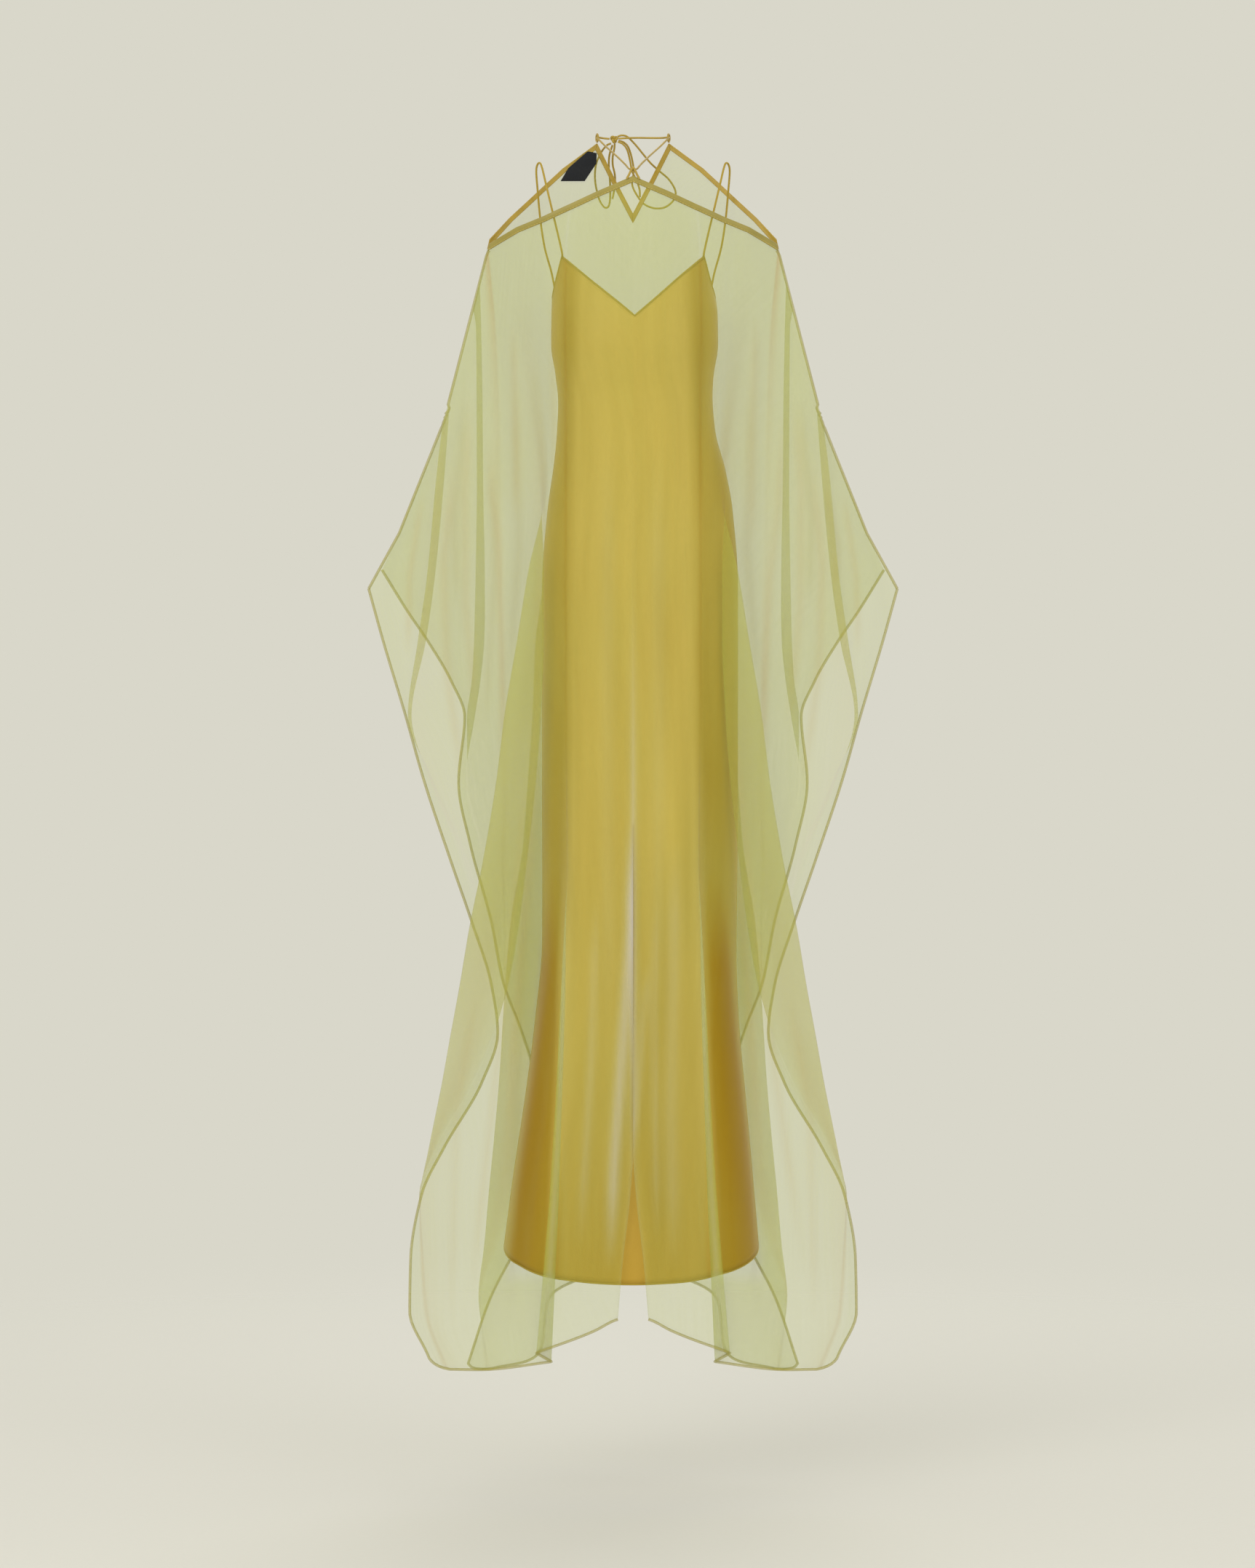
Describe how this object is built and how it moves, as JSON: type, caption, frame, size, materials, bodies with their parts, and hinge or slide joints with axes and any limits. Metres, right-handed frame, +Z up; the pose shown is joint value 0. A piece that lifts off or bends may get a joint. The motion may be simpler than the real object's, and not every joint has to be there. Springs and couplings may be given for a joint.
{
  "type": "sheer kaftan with satin under-slip",
  "caption": "Floor-length sheer open-sided kaftan laced with a thin tie at the neck, over a V-neck satin slip with thin straps, hollow and hanging as worn.",
  "frame": {"origin": "the nape, midway between the two back peaks that the neck tie joins, where the wearer's neck and shoulders hold the garment", "axes": "+Z up; the front faces -Y; +X is towards the wearer's left, which is the viewer's right from the front"},
  "size_m": [0.6742, 0.2692, 1.5951],
  "materials": {
    "organza": "sheer crisp silk organza",
    "binding": "satin bias binding and rouleau",
    "satin": "soft silk satin",
    "label": "plain woven, blank"
  },
  "bodies": {
    "root": {"front_panel": "organza", "back_panel": "organza", "front_neck_binding": "binding", "shoulder_left_binding": "binding", "notch_left_binding": "binding", "notch_right_binding": "binding", "shoulder_right_binding": "binding", "neck_loop_left": "binding", "neck_loop_right": "binding", "neck_loop_front": "binding", "tie_run": "binding", "tie_knot": "binding", "tie_bow_left": "binding", "tie_bow_right": "binding", "tie_end_left": "binding", "tie_end_right": "binding", "label": "label", "slip_front": "satin", "slip_back": "satin", "slip_strap_left": "satin", "slip_strap_right": "satin"}
  },
  "joints": []
}
